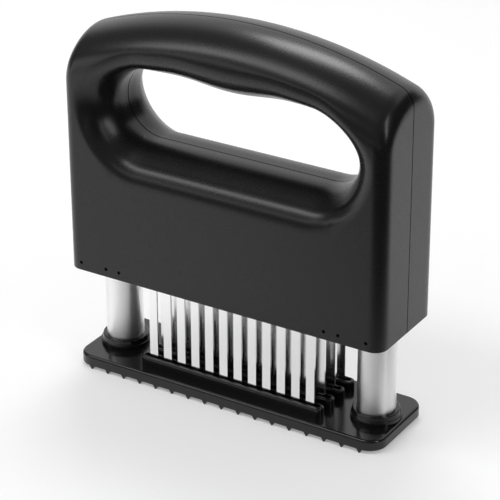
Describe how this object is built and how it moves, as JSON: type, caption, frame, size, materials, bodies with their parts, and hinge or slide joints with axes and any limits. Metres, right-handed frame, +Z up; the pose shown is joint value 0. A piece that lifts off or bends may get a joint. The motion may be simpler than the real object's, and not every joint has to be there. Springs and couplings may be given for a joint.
{
  "type": "blade meat tenderizer",
  "caption": "Hand-pressed meat tenderizer: arched loop handle on two sprung columns drives rows of flat steel blades through a slotted, toothed base plate.",
  "frame": {"origin": "centre of the footprint, at the level of the tips of the base plate's teeth", "axes": "+Z up along the columns, +X along the handle, -Y towards the front shell"},
  "size_m": [0.146, 0.0426, 0.1601],
  "materials": {
    "handle_plastic": "satin black moulding",
    "base_plastic": "glossy black moulding",
    "inner_plastic": "matt black moulding",
    "bushing_plastic": "matt dark grey bearing plastic",
    "column_steel": "polished tube",
    "blade_steel": "ground flat",
    "clamp_steel": "rolled",
    "screw_steel": "plain",
    "spring_steel": "drawn wire"
  },
  "bodies": {
    "base": {"base_plate": "base_plastic", "foot_screws": "screw_steel", "column_tube_left": "column_steel", "tube_foot_plug_left": "inner_plastic", "stop_ring_left": "spring_steel", "return_spring_left": "spring_steel", "column_tube_right": "column_steel", "tube_foot_plug_right": "inner_plastic", "stop_ring_right": "spring_steel", "return_spring_right": "spring_steel"},
    "handle": {"front_shell": "handle_plastic", "rear_shell": "handle_plastic", "blade_carrier": "inner_plastic", "clamp_screws": "screw_steel", "shell_screws": "screw_steel", "retaining_pins": "screw_steel", "spring_rod_left": "inner_plastic", "guide_bushing_left": "bushing_plastic", "spring_rod_right": "inner_plastic", "guide_bushing_right": "bushing_plastic", "front_blade_row": "blade_steel", "front_clamp_bar": "clamp_steel", "front_middle_blade_row": "blade_steel", "front_middle_clamp_bar": "clamp_steel", "rear_middle_blade_row": "blade_steel", "rear_middle_clamp_bar": "clamp_steel", "rear_blade_row": "blade_steel", "rear_clamp_bar": "clamp_steel"}
  },
  "joints": [
    {"name": "press", "type": "slide", "parent": "base", "child": "handle", "axis": [0, 0, -1], "range_m": [0, 0.035], "stiffness_N_per_m": 900, "springref_m": -0.012, "deforming": ["return_spring_left", "return_spring_right"]}
  ]
}
